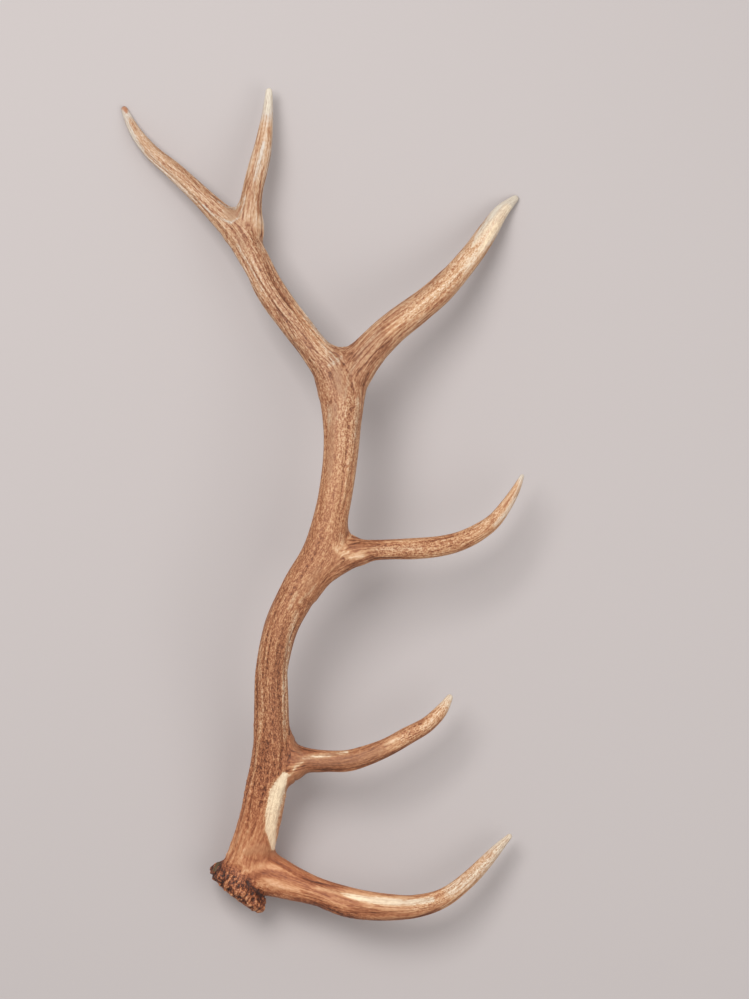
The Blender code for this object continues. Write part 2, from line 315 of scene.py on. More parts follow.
TAN = [
    # Soft arcs over the burr.
    (1.2, [(-108, -481, 1), (-96, -476, 2), (-86, -472, 3), (-75, -470, 3), (-64, -471, 3), (-52, -475, 1)]),
    (1.2, [(-90, -500, 2), (-84, -494, 3), (-74, -492, 5), (-60, -493, 6), (-46, -496, 5), (-30, -500, 3)]),
    (0.9, [(-50, -476, 0.5), (-38, -481, 1), (-27, -485, 0.5)]),
    # The fork of the third tine.
    (0.7, [(16, -52, 4), (24, -58, 8), (36, -66, 6), (50, -66, 3)]),
    # The left side of the royal fork and of the upper beam.
    (0.5, [(4, 196, 6), (-14, 222, 6), (-34, 252, 6)]),
    # The second tine's end.
    (0.35, [(92, -308, 8), (122, -292, 9), (150, -272, 8), (162, -258, 6)]),
    # The royal tine.
    (1.0, [(90, 224, 9), (150, 272, 11), (200, 328, 10), (242, 386, 8)]),
]
STAINS_AND_PAINTED_SHADE = [
    # Long streaks on the upper beam.
    (0.8, [(-90, 341, 1), (-84, 323, 2), (-75, 302, 3), (-64, 285, 2)]),
    (0.7, [(-59, 275, 1), (-50, 262, 2), (-39, 244, 2), (-28, 226, 2)]),
    (0.4, [(-99, 328, 1), (-88, 299, 1), (-74, 278, 1)]),
    # The front of the lower beam, and both sides of its worn patch.
    (0.35, [(-42, -147, 4), (-48, -175, 7), (-52, -214, 8), (-56, -252, 9), (-58, -291, 12)]),
    (0.35, [(-58, -291, 12), (-66, -320, 12)]),
    (0.4, [(-69, -298, 7), (-77, -344, 9), (-77, -383, 5)]),
    (0.6, [(-64, -354, 2), (-69, -383, 3), (-72, -416, 3), (-68, -442, 3)]),
    (0.5, [(-38, -365, 1), (-43, -389, 2), (-48, -416, 2), (-53, -444, 2)]),
    # Grooves of the crown, and painted shade along the upper edge of its left branch.
    (1.0, [(-214, 449, 0), (-192, 425, 0), (-170, 404, 0), (-150, 387, 1)]),
    (0.7, [(-232, 479, 0), (-206, 455, 1), (-178, 430, 1), (-158, 409, 1), (-144, 397, 1)]),
    (0.5, [(-99, 394, 2), (-96, 414, 2), (-91, 440, 1)]),
    (0.35, [(-79, 440, 1), (-80, 414, 2), (-83, 387, 3)]),
    # The root of the brow tine.
    (0.9, [(-60, -462, 3), (-41, -473, 5), (-21, -484, 6), (0, -493, 5), (30, -498, 3)]),
    (1.1, [(-92, -487, 1), (-82, -481, 3), (-66, -479, 4), (-50, -482, 4), (-34, -487, 3), (-10, -494, 2)]),
    (0.4, [(-102, -466, 2), (-88, -461, 4), (-70, -459, 5), (-50, -464, 4)]),
    # Painted shadow under the lower end of the burr, by the brow tine.
    (0.5, [(-67, -505, 2), (-52, -504, 3), (-34, -507, 3)]),
    (1.2, [(-34, -512, 3), (0, -522, 6), (30, -531, 7), (70, -536, 7), (110, -536, 6), (150, -527, 5)]),
    (0.5, [(0, -500, 4), (25, -508, 4), (50, -520, 3)]),
    # The lower side of the second tine, stained and darkened as painted shade, the underside of the third
    # tine, and the inner side of the third one's end.
    (0.9, [(-8, -341, 4), (10, -340, 6), (30, -339, 6), (62, -333, 5), (91, -322, 3)]),
    (0.3, [(-28, -312, 3), (-12, -319, 2)]),
    (0.4, [(31, -85, 3), (50, -76, 3), (82, -72, 2)]),
    (0.5, [(217, -35, 3), (230, -29, 3), (242, -16, 2), (251, 1, 2)]),
    # The beam under the royal fork.
    (0.35, [(45, 138, 5), (42, 107, 7), (37, 68, 5)]),
    (0.3, [(1, 139, 3), (1, 94, 3), (0, 43, 3)]),
    # The royal tine.
    (0.6, [(37, 204, 1), (52, 221, 1), (75, 244, 1), (96, 261, 1)]),
    (0.4, [(133, 242, 3), (159, 263, 3), (176, 283, 3)]),
    (0.3, [(232, 379, 1), (224, 362, 1), (219, 349, 1)]),
    # Painted shade on the shaded side of the burr, and dark stains on its upper end.
    (1.1, [(-102, -482, 1), (-96, -490, 3), (-91, -499, 4), (-84, -508, 4), (-78, -514, 3)]),
    (2.0, [(-146, -468, 5), (-147, -480, 7), (-140, -490, 5)]),
    (1.4, [(-132, -464, 4), (-135, -477, 6), (-130, -487, 4)]),
    (0.4, [(-126, -486, 4), (-117, -495, 3)]),
]
SMOOTH_PLACES = [
    # Webs of the crown, the royal fork and the second tine.
    (0.9, [(-122, 379, 6), (-115, 376, 7), (-112, 380, 5), (-118, 369, 4)]),
    (0.45, [(-109, 348, 3), (-102, 335, 4)]),
    (0.6, [(21, 169, 6), (21, 156, 6), (25, 143, 3)]),
    (0.4, [(30, 151, 2), (29, 135, 2)]),
    (0.7, [(-37, -302, 3), (-34, -314, 4), (-28, -322, 2)]),
    # Under the web of the second tine.
    (0.7, [(-46, -370, 5), (-34, -354, 6), (-22, -348, 6), (-8, -348, 5)]),
    # The beam just above the burr.
    (0.6, [(-96, -452, 4), (-83, -446, 7), (-68, -450, 7), (-52, -458, 5)]),
    # The second tine.
    (0.5, [(-30, -331, 6), (5, -333, 8), (40, -331, 8), (75, -320, 7)]),
    # The middle of the beam.
    (0.6, [(15, 126, 3), (14, 100, 3), (13, 68, 4), (11, 33, 3)]),
    (0.35, [(-4, -85, 5), (-17, -104, 5)]),
]
# Places that are more speckled than what is around them: the ends of the brow tine, the
# second tine and the royal tine, the third tine, and the right side of the beam under the
# royal fork.
SPECKLED_PLACES = [
    (1.0, [(125, -521, 8), (165, -506, 9), (200, -480, 8), (238, -442, 5)]),
    (0.8, [(108, -302, 9), (140, -284, 8), (163, -256, 6)]),
    (0.9, [(110, 242, 10), (165, 290, 12), (212, 348, 10), (246, 390, 5)]),
    (0.8, [(75, -60, 8), (130, -57, 12), (180, -47, 10), (232, -10, 7)]),
    (0.4, [(36, 138, 10), (34, 100, 12), (29, 50, 10)]),
]
# Moss by the upper end of the burr, and the red-brown broken tip of the beam.
MOSS = [(0.9, [(-140, -477, 2), (-135, -467, 2), (-129, -457, 1)])]
RUST = [(1.0, [(-264, 524, 4), (-258, 517, 3), (-257, 513, 1)])]

# Colours of the finish as hex codes: scales from dark to light, of brown skin, of bare
# ivory and of the tint from grey to golden, and single colours.
BROWNS = [
    (0.0, "34190C"), (0.2, "65361B"), (0.35, "8E5533"), (0.5, "AF7751"),
    (0.65, "C99A71"), (0.8, "DDB793"), (1.0, "EED5B9"),
]
IVORIES = [(0.0, "A07550"), (0.35, "CDA580"), (0.6, "E0C3A2"), (1.0, "FCE3BF")]
TINTS = [(0.0, "E0ECFF"), (0.5, "FFFFFF"), (1.0, "FFE9DD")]
GREY_BROWN = "9A785B"
MOSS_GREEN = "564C30"
RUST_BROWN = "AD673D"
FLOOR_GREY = "BBB3B1"

# How many random values a side of the noise block has before it repeats.
NOISE_CELLS = 48

# The studio: half the side of the floor in metres and its roughness, each soft light's
# name, place, size and power, and how bright the white surroundings are.
FLOOR_REACH = 6.0
FLOOR_ROUGHNESS = 0.9
LIGHTS = [("key", (-1.0, 1.3, 3.2), 1.8, 92), ("fill", (1.6, -0.6, 2.6), 2.0, 25)]
SURROUNDINGS = 0.45
WHITE = (1.0, 1.0, 1.0, 1.0)


def smooth_step(value, start, end):
    """0 before start, 1 after end, and a soft rise between them, for numbers or arrays."""
    share = np.clip((value - start) / (end - start), 0.0, 1.0)
    return share * share * (3.0 - 2.0 * share)


def unit(vectors):
    """Rows of vectors brought to length 1."""
    return vectors / np.linalg.norm(vectors, axis=-1, keepdims=True)


class Noise:
    """Smooth random values in space, from -1 to 1, the same on every run."""

    def __init__(self, seed):
        self.values = np.random.default_rng(seed).uniform(-1, 1, (NOISE_CELLS,) * 3)

    def __call__(self, places):
        cell = np.floor(places).astype(int)
        share = places - cell
        share = share * share * (3 - 2 * share)
        total = np.zeros(len(places))
        for corner in itertools.product((0, 1), repeat=3):
            weight = np.where(corner, share, 1 - share).prod(axis=1)
            i, j, k = ((cell + corner) % NOISE_CELLS).T
            total += weight * self.values[i, j, k]
        return total


class Branch:
    """A curved, tapering branch with an oval section that changes along it.

    Its grain is grain_radius wide from the centreline to the skin at the root, and half of
    that at the tip. The skin is bare over bare_end from the tip. The corner between a tine
    and the beam is filled in by web, which grows to its full size over the stretch root.
    """

    def __init__(self, stations, grain_radius, bare_end, web=0.0, root=(0.0, 1.0), has_burr=False):
        self.rows = np.array(stations, float) * MM
        steps = np.linalg.norm(np.diff(self.rows[:, :3], axis=0), axis=1)
        self.knots = np.concatenate([[0.0], np.cumsum(steps)])
        self.slopes = np.gradient(self.rows, self.knots, axis=0)
        self.length = float(self.knots[-1])
        self.tip_radius = float(self.rows[-1, 3]) / 2
        self.grain_radius = grain_radius
        self.bare_end = bare_end
        self.web = web
        self.root = root
        self.has_burr = has_burr

    def stations(self, along):
        """Centres, widths and depths on the cubic curve through the stations."""
        along = np.clip(along, 0.0, self.length)
        i = np.clip(np.searchsorted(self.knots, along) - 1, 0, len(self.knots) - 2)
        span = (self.knots[i + 1] - self.knots[i])[:, None]
        t = (along - self.knots[i])[:, None] / span
        row = (1 + 2 * t) * (1 - t) ** 2 * self.rows[i]
        row += t * (1 - t) ** 2 * span * self.slopes[i]
        row += t * t * (3 - 2 * t) * self.rows[i + 1]
        row += t * t * (t - 1) * span * self.slopes[i + 1]
        return row[:, :3], row[:, 3], row[:, 4]

    def section_axes(self, along):
        """Unit vectors ahead, across and up at each place along the branch."""
        reach = 2 * MM
        ahead = unit(self.stations(along + reach)[0] - self.stations(along - reach)[0])
        if self.has_burr:
            share = smooth_step(along, BURR_MIDDLE, BURR_TURNS_INTO_BEAM)[:, None]
            ahead = unit(np.array(BURR_AXIS) * (1.0 - share) + ahead * share)
        across = unit(np.cross(ahead, (0.0, 0.0, 1.0)))
        return ahead, across, np.cross(across, ahead)

    def closing(self, along):
        """How the section closes to a round tip and, on the beam, over the shed face."""
        to_tip = np.clip((self.length - along) / self.tip_radius, 0.0, 1.0)
        factor = np.sqrt(1.0 - (1.0 - to_tip) ** 2)
        if self.has_burr:
            flat_share = SHED_FACE_RADIUS / (self.rows[0, 3] / 2)
            to_edge = np.clip(along / SHED_FACE_EDGE, 0.0, 1.0)
            rim = np.sqrt(1.0 - (1.0 - to_edge) ** 2)
            factor = factor * (flat_share + (1.0 - flat_share) * rim)
        return factor

    def surface(self, along, angle):
        """Points of the plain skin."""
        centre, width, depth = self.stations(along)
        _, across, up = self.section_axes(along)
        ledge = np.zeros_like(along)
        if self.has_burr:
            ledge = BURR_RISE * smooth_step(along, BURR_STARTS, BURR_MIDDLE)
            ledge = ledge * (1.0 - smooth_step(along, BURR_MIDDLE, BURR_ENDS))
        closing = self.closing(along)
        sideways = (width / 2 * closing + ledge) * np.cos(angle)
        upwards = (depth / 2 * closing + ledge) * np.sin(angle)
        return centre + across * sideways[:, None] + up * upwards[:, None]

    def ring_places(self):
        """Distances of the rings, closer together over the burr and the rounded tip."""
        start = BURR_ENDS if self.has_burr else 0.0
        end = self.length - self.tip_radius
        body = np.linspace(start, end, round((end - start) / RING_STEP))
        tip = end + self.tip_radius * np.sin(np.linspace(0.0, math.pi / 2, RINGS_OF_TIP))[1:]
        base = np.linspace(0.0, BURR_ENDS, RINGS_OF_BURR)[:-1] if self.has_burr else []
        return np.concatenate([base, body, tip])

    def nearest(self, points):
        """Roughly how far along the branch each point is."""
        samples = np.linspace(0.0, self.length, round(self.length / SEARCH_STEP))
        centres = self.stations(samples)[0]
        along = np.empty(len(points))
        for start in range(0, len(points), POINTS_AT_ONCE):
            some = points[start:start + POINTS_AT_ONCE]
            squares = (centres**2).sum(1) - 2 * some @ centres.T
            along[start:start + POINTS_AT_ONCE] = samples[squares.argmin(1)]
        return along

    def place(self, points):
        """Where points lie: along the branch, across and above its centreline, and their
        distance from its plain skin, less than 0 inside it."""
        along = self.nearest(points)
        for _ in range(2):
            ahead = self.section_axes(along)[0]
            along = along + ((points - self.stations(along)[0]) * ahead).sum(1)
            along = np.clip(along, 0.0, self.length)
        centre, width, depth = self.stations(along)
        ahead, across, up = self.section_axes(along)
        offset = points - centre
        sideways = (offset * across).sum(1)
        upwards = (offset * up).sum(1)
        beyond = (offset * ahead).sum(1)
        cap = np.where(beyond < 0, ROOT_CAP, width / 2)
        share = np.sqrt((sideways / (width / 2)) ** 2 + (upwards / (depth / 2)) ** 2
                        + (beyond / cap) ** 2)
        share = np.maximum(share, 0.01)
        distance = (share - 1.0) * np.linalg.norm(offset, axis=1) / share
        return along, sideways, upwards, distance

    def grain(self, along, sideways, upwards):
        """Places in the branch's grain, whose lines run along it and part where it widens."""
        _, width, depth = self.stations(along)
        radius = self.grain_radius * (1 - 0.5 * along / self.length)
        return np.column_stack([along, sideways / (width / 2) * radius, upwards / (depth / 2) * radius])

    def bareness(self, along):
        """1 at the tip and 0 where the bare end stops."""
        return 1 - smooth_step(self.length - along, 0.3 * self.bare_end, self.bare_end)


def swept_branch(branch):
    """A closed bmesh of a branch: a grid rolled up around its centreline."""
    places = branch.ring_places()
    bm = bmesh.new()
    bmesh.ops.create_grid(bm, x_segments=SIDES, y_segments=len(places) - 1, size=1.0)
    grid = np.array([vert.co[:2] for vert in bm.verts])
    angle = math.pi * (grid[:, 0] + 1.0)
    row = np.rint((grid[:, 1] + 1.0) / 2 * (len(places) - 1)).astype(int)
    for vert, point in zip(bm.verts, branch.surface(places[row], angle)):
        vert.co = point
    bmesh.ops.remove_doubles(bm, verts=bm.verts, dist=SAME_PLACE)
    bmesh.ops.holes_fill(bm, edges=[edge for edge in bm.edges if edge.is_boundary])
    bmesh.ops.recalc_face_normals(bm, faces=bm.faces)
    return bm


def burr_beads(beam):
    """The beads around the burr: small long balls, half set into its ledge."""
    dice = random.Random(BEAD_SEED)
    turn = BURR_AXIS.to_track_quat("Z", "Y").to_matrix().to_4x4()
    bm = bmesh.new()
    for row, (along, count, bead_radius) in enumerate(BEAD_ROWS):
        for i in range(count):
            aside = dice.uniform(-BEAD_STRAYS_ROUND, BEAD_STRAYS_ROUND)
            angle = math.tau * (i + row / 2 + aside) / count
            shifted = (along + dice.uniform(-BEAD_STRAYS_ALONG, BEAD_STRAYS_ALONG)) * MM
            spot = Vector(beam.surface(np.array([shifted]), np.array([angle]))[0])
            stretch = Matrix.Diagonal((1.0, 1.0, dice.uniform(*BEAD_LENGTHS), 1.0))
            radius = bead_radius * dice.uniform(*BEAD_SIZES) * MM
            place = Matrix.Translation(spot) @ turn @ stretch
            bmesh.ops.create_icosphere(bm, subdivisions=3, radius=radius, matrix=place)
    return bm


def joined_mesh(pieces):
    """One mesh of several bmeshes, which are freed."""
    together = bmesh.new()
    for piece in pieces:
        loose = bpy.data.meshes.new("loose")
        piece.to_mesh(loose)
        piece.free()
        together.from_mesh(loose)
        bpy.data.meshes.remove(loose)
    mesh = bpy.data.meshes.new("antler")
    together.to_mesh(mesh)
    together.free()
    return mesh


def apply_modifiers(thing):
    """Makes the modifiers of an object part of its mesh."""
    depsgraph = bpy.context.evaluated_depsgraph_get()
    mesh = bpy.data.meshes.new_from_object(thing.evaluated_get(depsgraph))
    thing.modifiers.clear()
    thing.data = mesh


def read_points(mesh):
    """The places of a mesh's vertices, one row each."""
    flat = np.empty(len(mesh.vertices) * 3)
    mesh.vertices.foreach_get("co", flat)
    return flat.reshape(-1, 3)


def read_normals(mesh):
    """The directions that a mesh's vertices face."""
    flat = np.empty(len(mesh.vertices) * 3)
    mesh.vertex_normals.foreach_get("vector", flat)
    return flat.reshape(-1, 3)


def write_points(mesh, points):
    """Moves a mesh's vertices."""
    mesh.vertices.foreach_set("co", points.ravel())
    mesh.update()


def relaxed(mesh, share, rounds):
    """The places of a mesh's vertices, drawn towards their neighbours as share says."""
    ends = np.empty(len(mesh.edges) * 2, int)
    mesh.edges.foreach_get("vertices", ends)
    start, end = ends.reshape(-1, 2).T
    points = read_points(mesh)
    total = len(points)
    count = np.bincount(start, minlength=total) + np.bincount(end, minlength=total)
    for _ in range(rounds):
        pulled = np.column_stack([
            np.bincount(start, points[end, axis], total) + np.bincount(end, points[start, axis], total)
            for axis in range(3)
        ])
        points += (pulled / count[:, None] - points) * (0.5 * share)[:, None]
    return points


def soft_union(first, second, reach):
    """Distance from two shapes whose inner corner is filled in over a reach."""
    share = np.clip(0.5 + 0.5 * (second - first) / reach, 0.0, 1.0)
    return second * (1 - share) + first * share - reach * share * (1 - share)


def points_near(points, branch):
    """Which points are close enough to a branch for it to matter to them."""
    low = branch.rows[:, :3].min(0) - NEAR_A_TINE
    high = branch.rows[:, :3].max(0) + NEAR_A_TINE
    return np.flatnonzero(((points > low) & (points < high)).all(1))


def round_forks(mesh, beam, tines):
    """Fills in the corners between the beam and its tines to webs, and evens them out.
    The webs are thin: they fill the corners at the sides, more than on top and below."""
    for _ in range(WEB_ROUNDS):
        points = read_points(mesh)
        normals = read_normals(mesh)
        crease = np.zeros(len(points))
        for tine in tines:
            near = points_near(points, tine)
            beam_along, _, _, from_beam = beam.place(points[near])
            along, _, _, from_tine = tine.place(points[near])
            clear = smooth_step(along, *tine.root)
            web = tine.web * (ROOT_WEB + (1 - ROOT_WEB) * clear)
            web = web * (1 - WEB_LACKS_ON_TOP * normals[near, 2] ** 2)
            off_burr = smooth_step(beam_along, *WEBS_CLEAR_BURR)
            gap = soft_union(from_beam, from_tine, web)
            active = off_burr * (1 - smooth_step(np.abs(from_beam - from_tine), 0.9 * web, 1.3 * web))
            step = np.clip(gap * active, -WEB_STEP, WEB_STEP)
            points[near] -= normals[near] * step[:, None]
            apart = np.maximum(np.abs(from_beam), np.abs(from_tine))
            rounding = off_burr * (1 - smooth_step(apart, *CORNER_REACH))
            crease[near] = np.maximum(crease[near], rounding)
        write_points(mesh, points)
        write_points(mesh, relaxed(mesh, crease, CORNER_ROUNDS))


def skin_places(points, beam, tines):
    """Where each point is: in the beam's grain and in the nearest tine's, how much it
    belongs to the tine, how far it is from the burr and from the tip, and how bare it is."""
    along, sideways, upwards, from_beam = beam.place(points)
    beam_grain = beam.grain(along, sideways, upwards)
    tine_grain = np.zeros((len(points), 3))
    tine_to_tip = np.ones(len(points))
    tine_bare = np.zeros(len(points))
    closest = np.ones(len(points))
    for index, tine in enumerate(tines, 1):
        near = points_near(points, tine)
        tine_along, sideways, upwards, from_tine = tine.place(points[near])
        closer = from_tine < closest[near]
        nearer = near[closer]
        tine_grain[nearer] = tine.grain(tine_along, sideways, upwards)[closer] + (index, 0.0, 0.0)
        tine_to_tip[nearer] = tine.length - tine_along[closer]
        tine_bare[nearer] = tine.bareness(tine_along[closer])
        closest[nearer] = from_tine[closer]
    share = smooth_step(from_beam - closest, -GRAIN_TURNS, GRAIN_TURNS)
    return {
        "beam_grain": beam_grain,
        "tine_grain": tine_grain,
        "tine_share": share,
        "along": along,
        "to_tip": (beam.length - along) * (1 - share) + tine_to_tip * share,
        "bare": beam.bareness(along) * (1 - share) + tine_bare * share,
    }


def channels(waves, width):
    """1 in narrow valleys between broad ridges, 0 on the ridges."""
    return np.exp(-((waves / width) ** 2))


def wave_size(along, across):
    """The size of random waves along the grain and across it, given in millimetres."""
    return (along * MM, across * MM, across * MM)


def grain_relief(grain, roughness, noises):
    """Height over the plain skin, in metres."""
    wander = GROOVES_WANDER * noises[0](grain / wave_size(70, 30))
    bent = grain + np.column_stack([np.zeros(len(grain)), wander, -wander])
    wide = channels(noises[1](bent / wave_size(120, 8)), 0.25)
    fine = channels(noises[2](bent / wave_size(70, 4)), 0.4)
    pearls = np.maximum(noises[3](grain / wave_size(5.5, 4.5)) - 0.1, 0.0)
    lumps = noises[4](grain / wave_size(60, 24))
    return (LUMPS * lumps - WIDE_GROOVES * wide - FINE_GROOVES * fine + PEARLS * roughness * pearls) * MM


def groove_skin(mesh, beam, tines):
    """Presses the grooves into the skin and raises its pearls."""
    points = read_points(mesh)
    normals = read_normals(mesh)
    at = skin_places(points, beam, tines)
    along = at["along"]
    noises = [Noise(seed) for seed in range(5)]
    rough = 0.75 * (1 - smooth_step(along, 120 * MM, 420 * MM))
    near_burr = 1 - smooth_step(along, 40 * MM, 130 * MM)
    even = smooth_step(along, 250 * MM, 400 * MM) * (1 - smooth_step(along, 650 * MM, 800 * MM))
    on_beam = grain_relief(at["beam_grain"], rough, noises) * (1 + 0.3 * near_burr - 0.4 * even)
    on_tine = grain_relief(at["tine_grain"], rough * 0.3, noises) * RELIEF_OF_TINE
    height = on_beam * (1 - at["tine_share"]) + on_tine * at["tine_share"]
    # The tips are smooth, and the burr has crumbs in place of grooves.
    height = height * smooth_step(at["to_tip"], 10 * MM, 130 * MM)
    height = height * (1 - SMOOTH_PLACE_LACKS * painted(points, SMOOTH_PLACES))
    on_burr = 1 - smooth_step(along, 24 * MM, 44 * MM)
    crumbs = noises[3](points / (4.5 * MM)) + 0.8 * noises[2](points / (2.7 * MM))
    height = height * (1 - on_burr) + BURR_CRUMBS * MM * crumbs * on_burr
    write_points(mesh, points + normals * height[:, None])


def raised(mesh):
    """How far each vertex stands over the smoothed skin, in millimetres. The finish paints shade where it is
    low and highlights where it is high.
    """
    smoothed = relaxed(mesh, np.ones(len(mesh.vertices)), RAISED_ROUNDS)
    return ((read_points(mesh) - smoothed) * read_normals(mesh)).sum(1) / MM


def painted(points, strokes):
    """How strongly the strokes cover each point, seen from above."""
    cover = np.zeros(len(points))
    for strength, places in strokes:
        rows = np.array(places, float) * MM
        for (x0, y0, r0), (x1, y1, r1) in zip(rows[:-1], rows[1:]):
            start = np.array((x0, y0))
            run = np.array((x1, y1)) - start
            share = np.clip((points[:, :2] - start) @ run / (run @ run), 0.0, 1.0)
            apart = np.linalg.norm(points[:, :2] - start - share[:, None] * run, axis=1)
            reach = r0 + (r1 - r0) * share
            spot = strength * (1 - smooth_step(apart, 0.3 * reach, 1.5 * reach + 1.5 * MM))
            cover = np.maximum(cover, spot)
    return cover


def add_attribute(mesh, name, values):
    """Keeps a number or a vector for each vertex of a mesh."""
    kind = "FLOAT_VECTOR" if values.ndim == 2 else "FLOAT"
    attribute = mesh.attributes.new(name, kind, "POINT")
    attribute.data.foreach_set("vector" if values.ndim == 2 else "value", values.ravel())


def lightness_of(at, tan, on_burr, on_face):
    """How light the skin is: darkest low on the beam, and paler towards the tips."""
    along = at["along"]
    upper_half = smooth_step(along, 340 * MM, 680 * MM)
    foot = 1 - smooth_step(along, 60 * MM, 170 * MM)
    crown = smooth_step(along, 700 * MM, 950 * MM)
    near_tip = 1 - smooth_step(at["to_tip"], 20 * MM, 240 * MM)
    lightness = 0.11 * upper_half - 0.13 + 0.13 * foot + 0.09 * crown + 0.09 * near_tip
    return lightness + 0.15 * tan - 0.28 * on_burr * (1 - on_face)


def speckles_of(at, more_speckled):
    """How speckled it is: most on the burr and low on the beam, less up the branches."""
    along = at["along"]
    past_foot = smooth_step(along, 80 * MM, 160 * MM)
    higher_up = smooth_step(along, 260 * MM, 450 * MM)
    on_burr = 1 - smooth_step(along, 28 * MM, 48 * MM)
    speckled = (0.2 + 0.9 * past_foot - 0.3 * higher_up) * (1 - 0.6 * at["tine_share"])
    return speckled + 1.2 * on_burr + more_speckled


def lines_of(at, from_burr, more_speckled):
    """How clearly long lines show: on the tines and in the crown, and hardly near the burr."""
    crown = smooth_step(at["along"], 640 * MM, 740 * MM)
    off_burr = smooth_step(from_burr, 60 * MM, 120 * MM)
    lined = (0.15 + 0.85 * np.maximum(at["tine_share"], crown)) * (0.2 + 0.8 * off_burr)
    return lined * (1 - 0.5 * more_speckled)


def warmth_of(at, from_burr, tan, ivory):
    """How golden it is: most near the burr, and least in the crown, which is greyer."""
    near_burr = 1 - smooth_step(from_burr, 60 * MM, 330 * MM)
    crown = smooth_step(at["along"], 520 * MM, 780 * MM)
    warmth = 0.5 + 0.5 * near_burr + 0.2 * tan - 0.35 * np.minimum(ivory, 1) * (1 - tan)
    return warmth - (0.27 + 0.15 * at["bare"]) * crown


def mark_skin(mesh, beam, tines):
    """Stores what the finish needs to know about each place on the skin."""
    points = read_points(mesh)
    at = skin_places(points, beam, tines)
    normals = read_normals(mesh)
    # Most strokes stay off the underside.
    facing_up = smooth_step(normals[:, 2], -0.35, 0.15)
    from_burr = np.linalg.norm(points - beam.rows[0, :3], axis=1)
    on_burr = 1 - smooth_step(at["along"], 20 * MM, 45 * MM)
    # The shed face is the bare bone inside the ring of the burr.
    on_face = smooth_step(-normals @ np.array(BURR_AXIS), 0.3, 0.7)
    on_face = on_face * (1 - smooth_step(from_burr, 0.8 * SHED_FACE_RADIUS, 1.4 * SHED_FACE_RADIUS))
    more_speckled = painted(points, SPECKLED_PLACES)
    tan = painted(points, TAN) * facing_up
    rust = painted(points, RUST)
    ivory = np.maximum(painted(points, IVORY) * facing_up, at["bare"]) * (1 - rust) + 0.8 * on_face
    marks = {
        "beam_grain": at["beam_grain"],
        "tine_grain": at["tine_grain"],
        "tine_share": at["tine_share"],
        "lightness": lightness_of(at, tan, on_burr, on_face),
        "speckled": speckles_of(at, more_speckled),
        "lined": lines_of(at, from_burr, more_speckled),
        "warmth": warmth_of(at, from_burr, tan, ivory),
        # How far each place stands over the evened-out skin, for painted shade in hollows and painted
        # highlights on ridges, stronger on the burr's beads.
        "raised": raised(mesh) * (1 + 0.5 * on_burr),
        "ivory": ivory,
        # Dark stains, and painted shade along shaded edges and under the burr.
        "stain": painted(points, STAINS_AND_PAINTED_SHADE) * facing_up,
        "smooth": painted(points, SMOOTH_PLACES) * facing_up,
        "moss": painted(points, MOSS) * facing_up,
        "rust": rust,
    }
    for name, values in marks.items():
        add_attribute(mesh, name, values)


def linear(part):
    """The light that a part of a screen colour stands for."""
    return part / 12.92 if part < 0.04045 else ((part + 0.055) / 1.055) ** 2.4


def colour(code):
    """A colour as Blender's nodes want it, from a hex code."""
    return (*[linear(int(code[i:i + 2], 16) / 255) for i in (0, 2, 4)], 1.0)


class Value:
    """One output of a material's nodes. Sums and products of it add Math nodes."""

    def __init__(self, finish, socket):
        self.finish = finish
        self.socket = socket

    def __add__(self, other):
        return self.finish.math("ADD", self, other)

    def __sub__(self, other):
        return self.finish.math("SUBTRACT", self, other)

    def __mul__(self, other):
        return self.finish.math("MULTIPLY", self, other)

    def __radd__(self, other):
        return self.finish.math("ADD", other, self)

    def __rsub__(self, other):
        return self.finish.math("SUBTRACT", other, self)

    def __rmul__(self, other):
        return self.finish.math("MULTIPLY", other, self)


